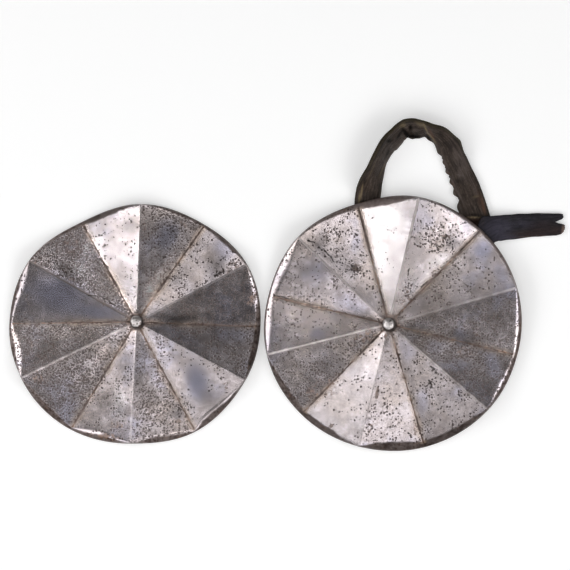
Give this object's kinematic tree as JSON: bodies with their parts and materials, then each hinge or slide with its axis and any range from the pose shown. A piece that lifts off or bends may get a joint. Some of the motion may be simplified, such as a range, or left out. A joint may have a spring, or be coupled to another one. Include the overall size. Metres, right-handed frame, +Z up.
{
  "type": "besagew pair",
  "caption": "Fluted steel besagews: domed discs with turned rims, riveted to leather hanging straps, that guard the armpits in plate armour.",
  "frame": {"origin": "on the table, at the middle of the bounding box's bottom face", "axes": "+X from the left disc to the right disc, +Y towards the hanging loop, +Z up from the table, out of the discs' outer faces"},
  "size_m": [0.347, 0.2078, 0.0213],
  "materials": {
    "disc_steel": "old polish, finely pitted, brown rust in the valleys",
    "rivet_steel": "worn bright on top",
    "rove_steel": "dull, rusted",
    "strap_leather": "dark olive-brown, waxed and worn",
    "strap_thread": "waxed linen thread",
    "buckle_leather": "black, cracked at the edges"
  },
  "bodies": {
    "right_besagew": {"right_disc": "disc_steel", "right_rivet": "rivet_steel", "right_rove": "rove_steel"},
    "hanging_strap": {"hanging_strap_left_leg": "strap_leather", "hanging_strap_right_leg": "strap_leather", "leg_stitching": "strap_thread"},
    "hanging_loop": {"hanging_strap_loop": "strap_leather", "loop_stitching": "strap_thread"},
    "buckle_strap": {"buckle_strap_root": "buckle_leather"},
    "buckle_tail": {"buckle_strap_tail": "buckle_leather"},
    "left_besagew": {"left_disc": "disc_steel", "left_rivet": "rivet_steel", "left_rove": "rove_steel", "left_leather_remnant": "strap_leather"}
  },
  "joints": [
    {"name": "strap_swivel", "type": "hinge", "parent": "right_besagew", "child": "hanging_strap", "pos_m": [0.0635, -0.0245, 0.00275], "axis": [-0.0236, -0.0253, 0.9994], "range_deg": [-60, 45]},
    {"name": "loop_lift", "type": "hinge", "parent": "hanging_strap", "child": "hanging_loop", "pos_m": [0.08, 0.06, 0.008], "axis": [1, 0, 0], "range_deg": [0, 80]},
    {"name": "buckle_swivel", "type": "hinge", "parent": "hanging_strap", "child": "buckle_strap", "pos_m": [0.0635, -0.0245, 0.00275], "axis": [-0.0236, -0.0253, 0.9994], "range_deg": [-50, 0]},
    {"name": "tail_lift", "type": "hinge", "parent": "buckle_strap", "child": "buckle_tail", "pos_m": [0.1362, 0.036, 0.005], "axis": [0, -1, 0], "range_deg": [0, 60]},
    {"name": "left_lift_off", "type": "slide", "parent": "right_besagew", "child": "left_besagew", "axis": [0, 0, 1], "range_m": [0, 0.06]}
  ]
}
